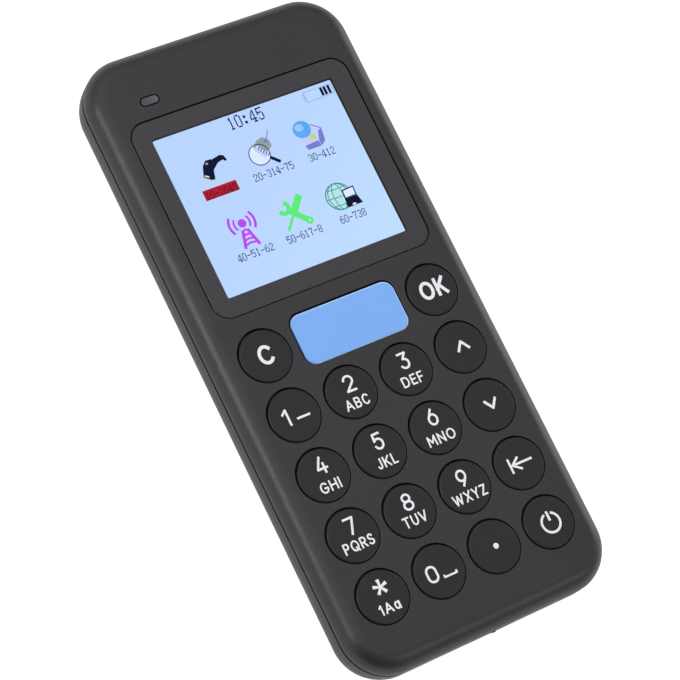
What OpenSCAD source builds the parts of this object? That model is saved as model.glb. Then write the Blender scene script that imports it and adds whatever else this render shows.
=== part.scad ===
// Handheld data terminal with a display, nineteen keys and a scan window in the head.
// The device lies on its back: +X is its right, +Y its head, +Z comes out of the display.
// Every size is in millimetres. The origin is the middle of the back face.
// The body's length, width and thickness add up from what it holds and the margins round it.

/* [Body] */
// Distance from the outer keys to the side of the body
side_margin = 4.7; // [4.5:0.05:5.4]
// Distance from the lowest keys to the lower end
foot_margin = 8.53; // [8.45:0.02:10]
// Distance from the display window to the head's end
head_margin = 13.8; // [13.8:0.1:16]
// Radius of the four corners seen from the front
corner_r = 9.1; // [8.8:0.1:9.6]
// How much less the back edge is rounded than the corners
corner_land = 0.5; // [0.3:0.1:0.8]
// Rounding of the front edge
front_r = 3.4; // [2.6:0.1:3.6]
// Depth of the front cover, from the face to the parting line
front_depth = 3.8; // [3.7:0.1:4.2]
// Wall of both covers
wall = 1.6; // [1.4:0.1:1.8]
// Floor of the rear cover
floor_t = 1.8; // [1.7:0.1:2]
// Height of the groove at the parting line
seam_gap = 0.5; // [0.2:0.05:0.6]
// Rounding of the rear cover's rim at the parting line
rim_r = 0.4; // [0.2:0.05:0.5]
// Height of the rear cover's tongue inside the front cover
tongue_h = 0.9; // [0.7:0.1:1]
// Gap between the tongue and the front cover's lip
tongue_gap = 0.1; // [0.05:0.05:0.15]
// Thickness of the seal between the covers
cover_seal_t = 0.4; // [0.3:0.05:0.5]

/* [Keys] */
// Diameter of a round key
key_d = 10.05; // [9.6:0.05:10.4]
// Space between neighbouring keys in a row
key_space_x = 1.95; // [1.8:0.05:2.4]
// Space between neighbouring key rows
key_space_y = 2.01; // [1.8:0.01:2.4]
// Corner radius of the scan key
scan_key_r = 2.2; // [1.5:0.1:2.6]
// How much the scan key falls short of the two columns it spans
scan_key_cut = -0.05; // [-0.5:0.05:0.5]
// Gap round every key
key_gap = 0.25; // [0.2:0.05:0.35]
// How far the keys stand above the face
key_rise = 0.05; // [0:0.05:0.4]
// How far a key can be pressed
key_travel = 0.5; // [0.3:0.05:0.5]
// Width of the rim that keeps a key in
key_rim = 0.65; // [0.5:0.05:0.75]
// Thickness of that rim
key_rim_t = 0.6; // [0.5:0.05:0.7]
// Gap between the rim and the cover above it
rim_gap = 0.05; // [0.05:0.05:0.1]
// Diameter of the stem that presses the dome
key_stem_d = 3; // [2.5:0.1:3.5]
// Gap between a fully pressed stem and its dome
stem_gap = 0.02; // [0.02:0.01:0.1]
// Diameter of a snap dome
dome_d = 6; // [5:0.1:6.5]
// Height of a snap dome
dome_t = 0.3; // [0.2:0.05:0.3]
// Thickness of the keypad mat
mat_t = 0.7; // [0.5:0.05:0.8]
// Gap between the keypad mat and the domes
mat_gap = 0.5; // [0.4:0.1:0.6]

/* [Display] */
// Distance from the keys to the window recess
window_space = 3.4; // [3.3:0.1:5]
// Length of the window recess
window_l = 40.65; // [39.8:0.05:42]
// Distance from the window recess to the side of the body
window_side = 4.4; // [4.2:0.1:4.8]
// Corner radius of the window recess
window_r = 3.5; // [2.5:0.1:4]
// Thickness of the window
window_t = 0.8; // [0.7:0.05:0.9]
// Gap round the window
window_gap = 0.25; // [0.1:0.05:0.3]
// Width of the printed mask at the sides of the picture
mask_side = 4.15; // [3.6:0.05:4.5]
// Width of the printed mask above and below the picture
mask_end = 4; // [3.6:0.05:4.5]
// Thickness of the printed mask
mask_t = 0.1; // [0.05:0.05:0.15]
// Thickness of the adhesive ring
tape_t = 0.15; // [0.1:0.05:0.2]
// Width of the ledge that the window is glued to
ledge_w = 2.4; // [2:0.1:2.6]
// Thickness of the display panel
panel_t = 1.6; // [1.4:0.05:1.65]
// How much the panel is narrower than the window recess, each side
panel_side = 0.8; // [0.7:0.1:1.2]
// How much the panel is longer than the window recess, each end
panel_end = 0.2; // [0:0.1:0.3]
// Wall of the display frame
tray_wall = 0.8; // [0.6:0.1:0.9]
// Floor of the display frame
tray_floor = 0.4; // [0.3:0.05:0.45]
// Gap round the panel in its frame
tray_gap = 0.1; // [0.05:0.05:0.15]
// Width of the display flex
flex_w = 18; // [14:0.5:20]
// Thickness of the flexes
flex_t = 0.12; // [0.1:0.02:0.14]
// Gap between a flex and what it lies against
flex_gap = 0.03; // [0.02:0.01:0.05]
// Distance from the display frame to its board connector
flex_reach = 2.6; // [2.4:0.1:2.8]

/* [Lamp] */
// Distance of the lamp from the window's left edge
lamp_in = 6.95; // [6:0.05:7.2]
// Distance of the lamp from the window's upper edge
lamp_up = 3.4; // [3.3:0.1:4.2]
// Width of the lamp hole
lamp_w = 4; // [3.6:0.1:4.4]
// Length of the lamp hole
lamp_l = 2; // [1.8:0.1:2.2]
// Gap round the light pipe
lamp_gap = 0.12; // [0.03:0.01:0.15]

/* [Board] */
// Thickness of the main board
board_t = 1.2; // [1:0.05:1.3]
// Gap between the board's sides and the covers
board_side = 1.1; // [1:0.1:1.4]
// Corner radius of the board
board_r = 5.5; // [5:0.1:6]
// Room between the board and the front cover for rims, stems and domes
board_gap = 2.4; // [2.4:0.05:2.6]
// Room between the battery well and the board for chips
under_board = 1.75; // [1.7:0.05:2]
// Diameter of the housing screws' shank
screw_d = 1.9; // [1.6:0.1:2.1]
// Gap round a screw in the pieces it passes through
screw_clear = 0.1; // [0.05:0.05:0.2]
// Diameter of the screw heads
screw_head_d = 3.2; // [2.8:0.1:3.4]
// Height of the screw heads
screw_head_t = 1.2; // [1:0.1:1.4]
// Height of the screw seats above the back
screw_seat_z = 3.6; // [3.2:0.1:4]
// Outer diameter of the screw bosses
boss_d = 4.2; // [3.8:0.1:4.3]
// How far a screw reaches into the front cover's wall
screw_bite = 0.2; // [0.1:0.1:0.4]
// Distance of the upper screws from the inner side wall
screw_in_x = 4.5; // [4.3:0.1:5]
// Distance of the upper screws from the inner end wall
screw_in_y = 6.3; // [6:0.1:6.6]
// Distance of the lower screws from the inner side wall
foot_screw_x = 6.1; // [5.9:0.1:6.2]
// Distance of the lower screws from the inner end wall
foot_screw_y = 4.05; // [3.9:0.05:4.1]
// Distance of the board screws from the inner side wall
board_screw_in = 2.8; // [2.7:0.1:2.9]

/* [Battery] */
// Width of the battery pack
battery_w = 32; // [30:0.1:32.4]
// Length of the battery pack
battery_l = 50; // [48:0.1:52]
// Thickness of the battery pack
battery_t = 5.2; // [4.8:0.1:5.6]
// Edge rounding of the battery pack
battery_r = 1; // [0.6:0.1:1.6]
// Distance from the lower end to the battery
battery_foot = 13.4; // [13:0.1:15]
// Gap round the battery
battery_gap = 0.2; // [0.15:0.05:0.3]
// Wall of the battery well
well_wall = 1.2; // [1:0.1:1.3]
// Thickness of the skin over the battery and behind the door
liner_t = 1; // [0.8:0.1:1.2]
// How much wider the door is than the battery, each side
door_side = 0.9; // [0.7:0.1:1]
// How far the door reaches past the battery
door_over = 2.2; // [2:0.1:3]
// Height that the door's lower end reaches up the rounded end
door_end_h = 4.6; // [4:0.1:4.8]
// Thickness of the battery door
door_t = 1.5; // [1.3:0.1:1.6]
// Sliding clearance of the door
door_gap = 0.15; // [0.1:0.05:0.2]
// How far the rails stand out of the door's sides
rail_w = 0.6; // [0.5:0.1:0.7]
// Thickness of the rails
rail_t = 0.6; // [0.5:0.1:0.7]
// Height of the rails above the back
rail_z = 0.5; // [0.4:0.05:0.5]
// Distance of the rails from the rounded lower end
rail_in = 1.6; // [1:0.1:3]
// Width of the finger grip in the door
grip_w = 16; // [12:0.5:20]
// Distance between the grip's grooves
grip_pitch = 2; // [1.6:0.1:2.4]
// Depth of the grip's grooves
grip_deep = 0.4; // [0.3:0.05:0.5]
// Distance from the door's upper edge to the middle of the grip
grip_in = 25.2; // [20:0.1:28]
// Width of the battery contact block
contact_w = 10; // [8:0.1:12]
// Length of the battery contact block
contact_l = 2.6; // [2.2:0.1:3]
// Gap between the contacts and the battery
contact_gap = 0.05; // [0.05:0.05:0.1]

/* [Port] */
// Width of the port opening
port_w = 9.4; // [9:0.1:10]
// Height of the port opening
port_h = 4; // [4:0.1:4.3]
// Gap round the port cover
port_gap = 0.2; // [0.15:0.05:0.25]
// Thickness of the port cover
flap_t = 0.9; // [0.8:0.1:1]
// How far the port cover's plug reaches in
plug_l = 1; // [0.8:0.1:1.2]
// Height of the port cover's plug
plug_h = 2.2; // [1.8:0.1:2.4]
// How far the finger tab stands out
tab_out = 0.2; // [0.15:0.05:0.5]
// Width of the finger tab
tab_w = 0.6; // [0.6:0.1:3]
// Distance of the finger tab from the middle
tab_x = 0.8; // [0:0.1:3]
// Height of the finger tab
tab_h = 0.6; // [0.5:0.1:0.9]
// Width of the socket
socket_w = 8; // [7.4:0.1:8.2]
// Height of the socket
socket_h = 2.9; // [2.6:0.1:3]
// Depth of the socket
socket_l = 5.6; // [5:0.1:6]
// Distance of the socket from the lower end
socket_in = 2.6; // [2.4:0.1:3]
// Wall of the socket's shell
socket_wall = 0.35; // [0.3:0.05:0.4]
// Thickness of the socket's tongue
socket_tongue = 0.6; // [0.5:0.05:0.7]

/* [Head] */
// Width of the scan window
scan_w = 21; // [20:0.1:22]
// Height of the scan window
scan_h = 5.6; // [5:0.1:5.8]
// Distance of the scan window's middle below the board
scan_below = 3.1; // [3:0.1:3.2]
// How deep the scan window's face lies in the head
scan_depth = 3; // [2.8:0.1:3.2]
// Thickness of the scan window
scan_t = 1; // [0.8:0.1:1.1]
// Gap round the scan window
scan_gap = 0.1; // [0.05:0.05:0.15]
// Width of the rim of the head's pocket round the scan window
pocket_rim = 2; // [1.5:0.1:2.5]
// Thickness of the scan window's seal
seal_t = 0.4; // [0.3:0.05:0.5]
// Width of the seal
seal_w = 1.2; // [1:0.1:1.4]
// Wall behind the seal
pad_wall = 1; // [0.8:0.1:1.2]
// Width of the scan engine
engine_w = 20; // [18:0.1:21]
// Length of the scan engine
engine_l = 12.5; // [11:0.1:13]
// Height of the scan engine
engine_h = 6.4; // [6:0.1:6.5]
// Gap between the scan engine and the wall in front of it
engine_gap = 0.3; // [0.2:0.05:0.4]
// Room between the scan engine and the board
engine_below = 0.8; // [0.7:0.05:0.9]
// Width of the scan engine's ears
ear_w = 4; // [3.6:0.1:4.4]
// Thickness of the ears
ear_t = 1.2; // [1:0.1:1.4]
// Height of the ears above the engine's underside
ear_up = 1.4; // [1.2:0.1:2]
// Diameter of the engine screws
ear_screw_d = 1.4; // [1.2:0.1:1.5]
// Diameter of the engine's lenses
lens_d = 3.6; // [3:0.1:4]
// Distance of each lens from the middle
lens_x = 5; // [4.5:0.1:6]
// Length of the lenses
lens_l = 1.4; // [1:0.1:1.5]
// Width of the engine flex
engine_flex_w = 7; // [6:0.5:9]
// Distance from the engine to its board connector
engine_reach = 4.6; // [4:0.1:5]

/* [Back] */
// Distance from the battery to the buzzer's middle
sound_up = 13; // [12:0.1:15]
// Distance of the buzzer and the motor from the middle
sound_x = 12; // [11:0.1:13]
// Diameter of the buzzer
buzzer_d = 12; // [10:0.1:13]
// Height of the buzzer
buzzer_t = 2.4; // [2:0.1:3]
// Diameter of the vibration motor
motor_d = 10; // [8:0.1:11]
// Height of the vibration motor
motor_t = 2.7; // [2:0.1:3]
// Wall of the rings round the buzzer and the motor
seat_ring = 0.8; // [0.6:0.1:1]
// Height of those rings
seat_h = 1.2; // [1:0.1:1.6]
// Diameter of a sound hole
sound_hole_d = 1; // [0.8:0.1:1.2]
// Distance between sound holes
sound_pitch = 2; // [1.8:0.1:2.2]
// Width of the rating label
label_w = 34; // [28:0.5:35]
// Length of the rating label
label_l = 18; // [14:0.5:20]
// Distance from the buzzer to the middle of the label
label_up = 22; // [20:0.1:24]
// Depth of the label's recess
label_deep = 0.25; // [0.2:0.05:0.3]
// Thickness of the label
label_t = 0.2; // [0.15:0.05:0.25]

/* [Hidden] */
$fn = 64;
COLUMNS = 4;
ROWS = 5;

key_pitch_x = key_d + key_space_x;
key_pitch_y = key_d + key_space_y;
body_w = (COLUMNS - 1) * key_pitch_x + key_d + 2 * side_margin;
body_l = foot_margin + (ROWS - 1) * key_pitch_y + key_d + window_space + window_l + head_margin;
foot_y = -body_l / 2;
head_y = body_l / 2;
back_r = corner_r - corner_land;

liner_in = door_t + door_gap;
battery_z0 = liner_in;
battery_z1 = battery_z0 + battery_t;
well_z1 = battery_z1 + battery_gap;
board_z0 = well_z1 + liner_t + under_board;
board_z1 = board_z0 + board_t;
under_z = board_z1 + board_gap;
body_t = under_z + wall;
seam_z = body_t - front_depth;

inner_w = body_w - 2 * wall;
inner_l = body_l - 2 * wall;
inner_r = corner_r - wall;
lip_w = wall / 2;
cut = body_l;

col_x = [for (i = [0:COLUMNS - 1]) (i - (COLUMNS - 1) / 2) * key_pitch_x];
row_y = [for (i = [0:ROWS - 1]) foot_y + foot_margin + key_d / 2 + (ROWS - 1 - i) * key_pitch_y];
KEYS = [
    ["key_clear", 0, 0], ["key_ok", 3, 0],
    ["key_1", 0, 1], ["key_2", 1, 1], ["key_3", 2, 1], ["key_up", 3, 1],
    ["key_4", 0, 2], ["key_5", 1, 2], ["key_6", 2, 2], ["key_down", 3, 2],
    ["key_7", 0, 3], ["key_8", 1, 3], ["key_9", 2, 3], ["key_back", 3, 3],
    ["key_star", 0, 4], ["key_0", 1, 4], ["key_point", 2, 4], ["key_power", 3, 4]
];
scan_key_w = key_pitch_x + key_d - scan_key_cut;
hole_d = key_d + 2 * key_gap;
rim_z1 = under_z - rim_gap;
rim_z0 = rim_z1 - key_rim_t;
key_z1 = body_t + key_rise;
stem_z0 = board_z1 + dome_t + key_travel + stem_gap;
mat_hole_d = dome_d + 2 * mat_gap;
keys_y0 = row_y[ROWS - 1] - key_d / 2 - key_rim;
keys_y1 = row_y[0] + key_d / 2 + key_rim;

window_w = body_w - 2 * window_side;
window_y = row_y[0] + key_d / 2 + window_space + window_l / 2;
screen_w = window_w - 2 * mask_side;
screen_l = window_l - 2 * mask_end;
window_z0 = body_t - window_t;
recess_z = window_z0 - mask_t - tape_t;
panel_w = window_w - 2 * panel_side;
panel_l = window_l + 2 * panel_end;
tray_w = panel_w + 2 * (tray_wall + tray_gap);
tray_l = panel_l + 2 * (tray_wall + tray_gap);
tray_z1 = under_z - tray_gap;
panel_z0 = board_z1 + tray_floor + flex_t + flex_gap;
flex_slot = flex_t + 2 * flex_gap;
flex_end_y = window_y + tray_l / 2 + flex_reach;
connector_l = 2.8;
connector_t = 1;

lamp_x = lamp_in - window_w / 2;
lamp_y = window_y + window_l / 2 + lamp_up;
lamp_rim = 0.7;
lamp_rim_t = 0.9;
led = [1.6, 0.8, 0.8];

pad_t = scan_t + seal_t + pad_wall;
scan_z = board_z0 - scan_below;
scan_face_y = head_y - scan_depth;
pocket_w = scan_w + 2 * pocket_rim;
pocket_h = scan_h + pocket_rim - 0.6;
pocket_z1 = scan_z + pocket_h / 2 + 0.8;
aperture_w = scan_w - 2 * seal_w;
aperture_h = scan_h - 1.5 * seal_w;
engine_y1 = scan_face_y - pad_t - engine_gap;
engine_y0 = engine_y1 - engine_l;
engine_z1 = board_z0 - engine_below;
engine_z0 = engine_z1 - engine_h;
lens_z = (engine_z0 + engine_z1) / 2 + 0.3;
lens_y0 = engine_y1 - lens_l - 0.1;
ear_z0 = engine_z0 + ear_up;
ear_y = (engine_y0 + engine_y1) / 2;

board_w = inner_w - 2 * board_side;
board_y0 = 1.4 - inner_l / 2;
board_y1 = scan_face_y - pad_t - 0.4;
board_l = board_y1 - board_y0;
board_y = (board_y0 + board_y1) / 2;
corner_screws = [
    [inner_w / 2 - screw_in_x, inner_l / 2 - screw_in_y],
    [inner_w / 2 - foot_screw_x, foot_screw_y - inner_l / 2]
];
board_screw_x = inner_w / 2 - board_screw_in;
board_screw_y = (row_y[1] + row_y[2]) / 2;
screw_tip_z = under_z + screw_bite;

battery_y0 = foot_y + battery_foot;
battery_y1 = battery_y0 + battery_l;
well_w = battery_w + 2 * battery_gap;
well_y0 = battery_y0 - battery_gap;
well_y1 = battery_y1 + battery_gap;
well_y = (well_y0 + well_y1) / 2;
door_w = battery_w + 2 * door_side;
door_y1 = battery_y1 + door_over;
rail_y0 = foot_y + back_r + rail_in;
contact_y0 = well_y1 + well_wall + 0.1;

port_z0 = board_z0 - socket_h / 2 - port_h / 2;
flap_z0 = port_z0 + port_gap;
flap_z1 = port_z0 + port_h - port_gap;
flap_w = port_w - 2 * port_gap;
socket_y = foot_y + socket_in;

sound_y = battery_y1 + sound_up;
label_y = sound_y + label_up;

cover_color = [0.25, 0.25, 0.26];
key_color = [0.21, 0.21, 0.22];
part_color = [0.13, 0.13, 0.14];
metal_color = [0.72, 0.73, 0.75];

// ---- shared shapes ----

module quarter(r) {
    intersection() {
        circle(r = r);
        square(r);
    }
}

// Half section of a slab's edge: r wide, t high, rounded above and below.
module edge_profile(r, t, top_r, bot_r) {
    translate([0, bot_r]) square([r, t - top_r - bot_r]);
    if (top_r > 0) {
        translate([0, t - top_r]) square([r - top_r, top_r]);
        translate([r - top_r, t - top_r]) quarter(top_r);
    }
    if (bot_r > 0) {
        square([r - bot_r, bot_r]);
        translate([r - bot_r, bot_r]) mirror([0, 1]) quarter(bot_r);
    }
}

// Slab with round corners and rounded edges, standing on z = 0.
module slab(w, l, r, t, top_r, bot_r) {
    for (k = [0:3]) {
        sx = (k == 0 || k == 3) ? 1 : -1;
        sy = k < 2 ? 1 : -1;
        translate([sx * (w / 2 - r), sy * (l / 2 - r), 0])
            rotate(90 * k)
            rotate_extrude(angle = 90) edge_profile(r, t, top_r, bot_r);
    }
    for (m = [0, 1]) {
        mirror([m, 0, 0]) translate([w / 2 - r, 0, 0]) rotate([90, 0, 0])
            linear_extrude(l - 2 * r, center = true) edge_profile(r, t, top_r, bot_r);
        mirror([0, m, 0]) translate([0, l / 2 - r, 0]) rotate([90, 0, 90])
            linear_extrude(w - 2 * r, center = true) edge_profile(r, t, top_r, bot_r);
    }
    translate([r - w / 2, r - l / 2, 0]) cube([w - 2 * r, l - 2 * r, t]);
}

// Upright ring or block with the body's outline moved inwards by d.
module outline(d, z0, h) {
    translate([0, 0, z0])
        slab(body_w - 2 * d, body_l - 2 * d, corner_r - d, h, 0, 0);
}

// The device's outer form below the parting line moved inwards by d, up to height z1.
module form(d, z1) {
    translate([0, 0, d])
        slab(body_w - 2 * d, body_l - 2 * d, corner_r - d, z1 - d, 0, back_r - d);
}

// The hollow under the front cover, grown by g.
module front_hollow(g, z0) {
    translate([0, 0, z0])
        slab(inner_w + 2 * g, inner_l + 2 * g, inner_r + g, under_z + g - z0, front_r - wall, 0);
}

module round_rect(w, l, r) {
    square([w - 2 * r, l], center = true);
    square([w, l - 2 * r], center = true);
    for (x = [-1, 1], y = [-1, 1])
        translate([x * (w / 2 - r), y * (l / 2 - r)]) circle(r = r);
}

module plate(w, l, r, z0, z1) {
    translate([0, 0, z0]) linear_extrude(z1 - z0) round_rect(w, l, r);
}

module block(x, y, z0, w, l, h) {
    translate([x - w / 2, y - l / 2, z0]) cube([w, l, h]);
}

module hole(d) {
    translate([0, 0, -1]) cylinder(d = d, h = cut);
}

module at_corners() {
    for (p = corner_screws, s = [-1, 1])
        translate([s * p[0], p[1], 0]) children();
}

module at_board_screws() {
    for (s = [-1, 1])
        translate([s * board_screw_x, board_screw_y, 0]) children();
}

module at_ears() {
    for (s = [-1, 1])
        translate([s * (engine_w + ear_w) / 2, ear_y, 0]) children();
}

// Looks from the head towards the scan window: plates stand on their edge here.
module in_head(y, z) {
    translate([0, y, z]) rotate([-90, 0, 0]) children();
}

// ---- covers ----

module key_holes(d, scan_w, scan_l, scan_r) {
    for (k = KEYS)
        translate([col_x[k[1]], row_y[k[2]], 0]) hole(d);
    translate([0, row_y[0], 0]) plate(scan_w, scan_l, scan_r, -1, cut);
}

module front_cover() {
    seal_seat = tongue_h + cover_seal_t;
    boss_h = under_z - board_z1 + wall / 2;
    color(cover_color) difference() {
        union() {
            difference() {
                translate([0, 0, seam_z])
                    slab(body_w, body_l, corner_r, front_depth, front_r, 0);
                front_hollow(0, seam_z - 1);
                outline(lip_w, seam_z - 1, 1 + seal_seat);
            }
            intersection() {
                translate([0, 0, board_z1]) {
                    at_corners() cylinder(d = boss_d, h = boss_h);
                    at_board_screws() cylinder(d = boss_d, h = boss_h);
                }
                front_hollow(0.1, board_z1 - 1);
            }
        }
        translate([0, 0, under_z])
            key_holes(hole_d, scan_key_w + 2 * key_gap, hole_d, scan_key_r + key_gap);
        translate([0, window_y, 0]) {
            plate(window_w, window_l, window_r, recess_z, cut);
            plate(window_w - 2 * ledge_w, window_l - 2 * ledge_w, window_r - 1, under_z - 1, cut);
        }
        translate([lamp_x, lamp_y, 0]) plate(lamp_w, lamp_l, lamp_l / 2 - 0.01, under_z - 1, cut);
        at_corners() cylinder(d = screw_d, h = screw_tip_z + screw_clear);
        at_board_screws() cylinder(d = screw_d, h = screw_tip_z + screw_clear);
    }
}

// What stands on the rear cover's floor, before the skin trims it.
module rear_ribs() {
    block(0, well_y, liner_in, well_w + 2 * well_wall, well_y1 - well_y0 + 2 * well_wall,
        well_z1 + liner_t - liner_in);
    block(0, (foot_y + door_y1) / 2, liner_in, door_w + 2 * (rail_w + well_wall),
        door_y1 - foot_y + 2 * well_wall, liner_t);
    at_corners() cylinder(d = boss_d, h = board_z0);
    translate([sound_x, sound_y, 0]) cylinder(d = buzzer_d + 2 * seat_ring, h = floor_t + seat_h);
    translate([-sound_x, sound_y, 0]) cylinder(d = motor_d + 2 * seat_ring, h = floor_t + seat_h);
    at_ears() cylinder(d = ear_w - 0.4, h = ear_z0);
    translate([-pocket_w / 2 - 1, scan_face_y - pad_t, 0])
        cube([pocket_w + 2, pad_t + scan_depth, pocket_z1]);
}

// Skin behind the door's lower end, so that the inside stays closed without the door.
module end_liner() {
    intersection() {
        difference() {
            form(liner_in, seam_z);
            form(liner_in + liner_t, seam_z + 1);
        }
        translate([-door_w / 2 - 2 * liner_t, foot_y, 0])
            cube([door_w + 4 * liner_t, well_y0 - foot_y, door_end_h + 1.4 * liner_t]);
    }
}

module rear_cover() {
    color(cover_color) difference() {
        union() {
            difference() {
                union() {
                    slab(body_w, body_l, corner_r, seam_z - seam_gap, rim_r, back_r);
                    outline(lip_w + tongue_gap, back_r, seam_z + tongue_h - back_r);
                }
                translate([0, 0, floor_t])
                    slab(inner_w, inner_l, inner_r, body_t, 0, back_r - floor_t);
            }
            intersection() {
                union() {
                    rear_ribs();
                    end_liner();
                }
                form(wall / 2, seam_z - 1);
            }
        }
        // battery well, open towards the door, and the way in for the contacts
        block(0, well_y, -1, well_w, well_y1 - well_y0, well_z1 + 1);
        block(0, well_y1 + well_wall / 2, battery_z0 + 1, contact_w - 2, well_wall + 1.6, battery_t - 2);
        door_shape(door_gap);
        // seats of the buzzer and the motor, and the sound holes
        translate([sound_x, sound_y, floor_t]) cylinder(d = buzzer_d + 0.2, h = cut);
        translate([-sound_x, sound_y, floor_t]) cylinder(d = motor_d + 0.2, h = cut);
        for (i = [-2:2]) translate([sound_x + sound_pitch * i, sound_y, 0]) hole(sound_hole_d);
        translate([0, label_y, 0])
            plate(label_w + 2 * label_t, label_l + 2 * label_t, 1.2, -1, label_deep);
        // screw holes
        at_corners() {
            hole(screw_d + 2 * screw_clear);
            translate([0, 0, -1]) cylinder(d = screw_head_d + 4 * screw_clear, h = screw_seat_z + 1);
        }
        at_ears() translate([0, 0, floor_t - 0.6]) cylinder(d = ear_screw_d, h = cut);
        // head pocket, seat of the scan window and the opening behind it
        in_head(scan_face_y, scan_z) plate(pocket_w, pocket_h, 1.2, 0, cut);
        in_head(scan_face_y - scan_t - seal_t, scan_z)
            plate(scan_w + 2 * scan_gap, scan_h + 2 * scan_gap, 0.8 + scan_gap, 0, cut);
        in_head(scan_face_y - pad_t - 1, scan_z) plate(aperture_w, aperture_h, 0.6, 0, cut);
        // port opening
        translate([-port_w / 2, foot_y - 1, port_z0]) cube([port_w, socket_in + 1, port_h]);
    }
}

// Thin line seal between the tongue and the front cover.
module housing_seal() {
    color(part_color) difference() {
        outline(lip_w + 1.5 * tongue_gap, seam_z + tongue_h, cover_seal_t);
        outline(wall - tongue_gap, seam_z - 1, front_depth);
    }
}

// ---- battery door and port cover ----

// The door's outline grown by g, which also cuts its opening in the rear cover.
module door_shape(g) {
    y1 = door_y1 + g;
    low_y = foot_y - 1;
    rails_y = g > 0 ? low_y : rail_y0;
    difference() {
        union() {
            translate([-door_w / 2 - g, low_y, -1]) cube([door_w + 2 * g, y1 - low_y, door_end_h + g + 1]);
            translate([-door_w / 2 - rail_w - g, rails_y, rail_z - g])
                cube([door_w + 2 * (rail_w + g), y1 - rails_y, rail_t + 2 * g]);
        }
        form(door_t + g, body_t);
    }
}

module battery_door() {
    groove_d = 5 * grip_deep;
    color(cover_color) difference() {
        intersection() {
            door_shape(0);
            form(0, seam_z);
        }
        for (i = [-3:3])
            translate([0, door_y1 - grip_in + grip_pitch * i, grip_deep - groove_d / 2])
            rotate([0, 90, 0]) cylinder(d = groove_d, h = grip_w, center = true);
    }
}

module port_cover() {
    color(part_color) {
        intersection() {
            difference() {
                form(0, seam_z - seam_gap);
                form(flap_t, seam_z + 1);
            }
            translate([-flap_w / 2, foot_y - 1, flap_z0]) cube([flap_w, 4, flap_z1 - flap_z0]);
        }
        // plug that reaches towards the socket
        translate([1 - socket_w / 2, foot_y + flap_t - 0.3, (flap_z0 + flap_z1 - plug_h) / 2])
            cube([socket_w - 2, plug_l + 0.3, plug_h]);
        // finger tab
        translate([tab_x - tab_w / 2, foot_y - tab_out, flap_z1 - tab_h])
            cube([tab_w, tab_out + 0.6, tab_h]);
    }
}

// ---- display ----

module window_plate(g, r, z0, z1) {
    translate([0, window_y, 0]) plate(window_w - 2 * g, window_l - 2 * g, r, z0, z1);
}

module display_window() {
    color([0.3, 0.32, 0.35, 0.5])
        window_plate(window_gap, window_r - window_gap, window_z0, body_t);
}

module window_mask() {
    color(cover_color) difference() {
        window_plate(window_gap, window_r - window_gap, window_z0 - mask_t, window_z0);
        translate([0, window_y, 0]) plate(screen_w, screen_l, 0.3, window_z0 - 1, window_z0 + 1);
    }
}

module window_tape() {
    color([0.1, 0.1, 0.1]) difference() {
        window_plate(window_gap, window_r - window_gap, recess_z, recess_z + tape_t);
        window_plate(ledge_w - 2 * window_gap, window_r - 1, recess_z - 1, recess_z + 1);
    }
}

module lcd_panel() {
    color([0.75, 0.86, 0.99]) block(0, window_y, panel_z0, panel_w, panel_l, panel_t);
}

module lcd_frame() {
    color(metal_color) difference() {
        block(0, window_y, board_z1, tray_w, tray_l, tray_z1 - board_z1);
        block(0, window_y, board_z1 + tray_floor, panel_w + 2 * tray_gap, panel_l + 2 * tray_gap, cut);
        block(0, window_y + tray_l / 2, board_z1 + tray_floor, flex_w + 0.6, 4 * tray_wall, 4 * flex_t);
    }
}

module lcd_flex() {
    color([0.8, 0.5, 0.15])
        translate([-flex_w / 2, window_y + panel_l / 2 - flex_reach, panel_z0 - flex_t])
        cube([flex_w, flex_end_y - window_y - panel_l / 2 + flex_reach, flex_t]);
}

// ---- board ----

module main_board() {
    color([0.1, 0.35, 0.2]) difference() {
        translate([0, board_y, 0]) plate(board_w, board_l, board_r, board_z0, board_z1);
        at_corners() hole(screw_d + 2 * screw_clear);
        at_board_screws() hole(screw_d + 2 * screw_clear);
    }
}

// Chips on the underside: x, y, width, length and height, with y counted from the window's middle
DISPLAY_CHIPS = [
    [-10, 1, 14, 14, 1.4], [12, 5, 11, 9, 1.1], [9, -5, 8, 8, 1],
    [-19, 18, 8, 7, 1.2], [-20, -8, 6, 5, 1], [20, 18, 6, 6, 1.2]
];
// The same, with y counted from the battery contacts
POWER_CHIP = [0, 3.9, 16, 6, 1.2];
// The same, with y counted from the board's lower end
FOOT_CHIPS = [[19, 9.4, 6, 5, 1], [-19, 9.4, 5, 5, 1]];

module chip(c, y) {
    block(c[0], y + c[1], board_z0 - c[4], c[2], c[3], c[4]);
}

module board_chips() {
    color(part_color) {
        for (c = DISPLAY_CHIPS) chip(c, window_y);
        chip(POWER_CHIP, contact_y0 + contact_l);
        for (c = FOOT_CHIPS) chip(c, board_y0);
    }
}

module board_connectors() {
    engine_end_y = engine_y0 - engine_reach;
    color([0.85, 0.82, 0.72]) {
        difference() {
            block(0, flex_end_y, board_z1, flex_w + 3, connector_l, connector_t);
            translate([-flex_w / 2 - 0.2, flex_end_y - 2, panel_z0 - flex_t - flex_gap])
                cube([flex_w + 0.4, 2 + flex_gap, flex_slot]);
        }
        difference() {
            block(0, engine_end_y, board_z0 - connector_t, engine_flex_w + 2.6, connector_l, connector_t);
            translate([-engine_flex_w / 2 - 0.1, engine_end_y - flex_gap, engine_z1 - flex_gap])
                cube([engine_flex_w + 0.2, 2, flex_slot]);
        }
    }
}

module snap_domes() {
    color(metal_color) translate([0, 0, board_z1]) {
        for (k = KEYS)
            translate([col_x[k[1]], row_y[k[2]], 0]) cylinder(d = dome_d, h = dome_t);
        translate([0, row_y[0], 0]) cylinder(d = dome_d, h = dome_t);
    }
}

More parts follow.
